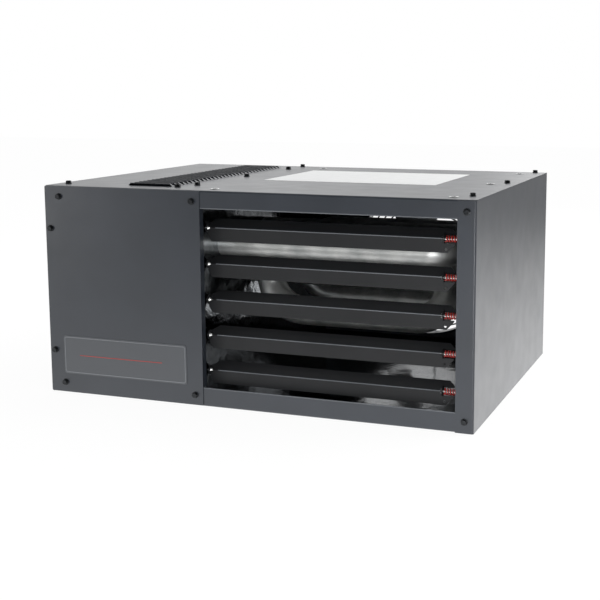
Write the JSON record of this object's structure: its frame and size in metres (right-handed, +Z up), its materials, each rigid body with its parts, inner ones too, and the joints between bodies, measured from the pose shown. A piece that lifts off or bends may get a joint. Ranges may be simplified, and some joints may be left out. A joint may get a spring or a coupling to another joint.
{
  "type": "gas unit heater",
  "caption": "Compact low-profile gas unit heater: grey sheet steel cabinet with a control side, horizontal discharge louvres on sprung pivots, heat exchanger tubes and a rear propeller fan.",
  "frame": {"origin": "centre of the cabinet's underside, without the fan guard and the pipes", "axes": "+Z up, the discharge louvres face -Y, +X to the right seen from the front; the fan is on the +Y side"},
  "size_m": [0.68, 0.5416, 0.3286],
  "materials": {
    "casing_paint": "satin powder coat",
    "louvre_paint": "satin powder coat",
    "blank_plate": "satin",
    "galvanised_sheet": "galvanised",
    "aluminised_tube": "aluminised",
    "steel_plain": "plated",
    "black_fasteners": "black oxide",
    "spring_red": "coated wire",
    "burner_steel": "aluminised",
    "black_iron": "painted",
    "brass_orifice": "turned",
    "valve_casting": "die cast",
    "red_plastic": "moulded",
    "black_rubber": "moulded",
    "white_ceramic": "glazed ceramic",
    "black_plastic": "moulded",
    "motor_black": "baked enamel",
    "switch_blue": "moulded",
    "hose_silicone": "extruded",
    "board_green": "solder mask",
    "nylon_white": "moulded",
    "transformer_core": "varnished",
    "guard_wire": "dip coated",
    "blade_aluminium": "rolled"
  },
  "bodies": {
    "cabinet": {"bottom_pan": "casing_paint", "left_panel": "casing_paint", "right_panel": "casing_paint", "rear_panel": "casing_paint", "fan_venturi": "casing_paint", "partition": "galvanised_sheet", "top_panel": "casing_paint", "access_panel": "casing_paint", "nameplate": "blank_plate", "top_screws": "black_fasteners", "front_screws": "black_fasteners", "hanging_inserts": "steel_plain", "louvre_bracket": "galvanised_sheet", "louvre_springs": "spring_red", "front_heat_tube": "aluminised_tube", "rear_heat_tube": "aluminised_tube", "front_burner": "burner_steel", "rear_burner": "burner_steel", "burner_bracket": "galvanised_sheet", "gas_manifold": "black_iron", "gas_orifices": "brass_orifice", "gas_valve": "valve_casting", "gas_inlet_pipe": "black_iron", "pipe_bushing": "black_rubber", "igniter": "white_ceramic", "flame_sensor": "white_ceramic", "flue_collector": "galvanised_sheet", "inducer_housing": "black_plastic", "inducer_motor": "motor_black", "flue_duct": "galvanised_sheet", "pressure_switch": "switch_blue", "pressure_hose": "hose_silicone", "control_board": "board_green", "board_spacers": "nylon_white", "transformer": "transformer_core", "junction_box": "galvanised_sheet", "limit_switch": "black_plastic", "rollout_switch": "black_plastic", "fan_motor": "motor_black", "fan_guard": "guard_wire", "guard_screws": "black_fasteners"},
    "louvre_1": {"louvre_1": "louvre_paint", "louvre_pins_1": "steel_plain"},
    "louvre_2": {"louvre_2": "louvre_paint", "louvre_pins_2": "steel_plain"},
    "louvre_3": {"louvre_3": "louvre_paint", "louvre_pins_3": "steel_plain"},
    "louvre_4": {"louvre_4": "louvre_paint", "louvre_pins_4": "steel_plain"},
    "louvre_5": {"louvre_5": "louvre_paint", "louvre_pins_5": "steel_plain"},
    "fan": {"fan_shaft": "steel_plain", "propeller": "blade_aluminium"},
    "inducer": {"inducer_wheel": "steel_plain"},
    "gas_knob": {"gas_valve_knob": "red_plastic"},
    "reset": {"reset_button": "red_plastic"}
  },
  "joints": [
    {"name": "louvre_1_tilt", "type": "hinge", "parent": "cabinet", "child": "louvre_1", "pos_m": [0.1, -0.2295, 0.2672], "axis": [1, 0, 0], "range_deg": [-60, 40]},
    {"name": "louvre_2_tilt", "type": "hinge", "parent": "cabinet", "child": "louvre_2", "pos_m": [0.1, -0.2295, 0.2132], "axis": [1, 0, 0], "range_deg": [-60, 40]},
    {"name": "louvre_3_tilt", "type": "hinge", "parent": "cabinet", "child": "louvre_3", "pos_m": [0.1, -0.2295, 0.1592], "axis": [1, 0, 0], "range_deg": [-60, 40]},
    {"name": "louvre_4_tilt", "type": "hinge", "parent": "cabinet", "child": "louvre_4", "pos_m": [0.1, -0.2295, 0.1052], "axis": [1, 0, 0], "range_deg": [-60, 40]},
    {"name": "louvre_5_tilt", "type": "hinge", "parent": "cabinet", "child": "louvre_5", "pos_m": [0.1, -0.2295, 0.0512], "axis": [1, 0, 0], "range_deg": [-60, 40]},
    {"name": "fan_spin", "type": "hinge", "parent": "cabinet", "child": "fan", "pos_m": [0.1318, 0.2, 0.162], "axis": [0, 1, 0], "continuous": true},
    {"name": "inducer_spin", "type": "hinge", "parent": "cabinet", "child": "inducer", "pos_m": [-0.18, 0.0045, 0.1475], "axis": [1, 0, 0], "continuous": true},
    {"name": "gas_knob_turn", "type": "hinge", "parent": "cabinet", "child": "gas_knob", "pos_m": [-0.2463, 0.1069, 0.27], "axis": [0, 0, 1], "range_deg": [0, 90]},
    {"name": "reset_press", "type": "slide", "parent": "cabinet", "child": "reset", "axis": [1, 0, 0], "range_m": [0, 0.0015], "stiffness_N_per_m": 800, "springref_m": -0.001}
  ]
}
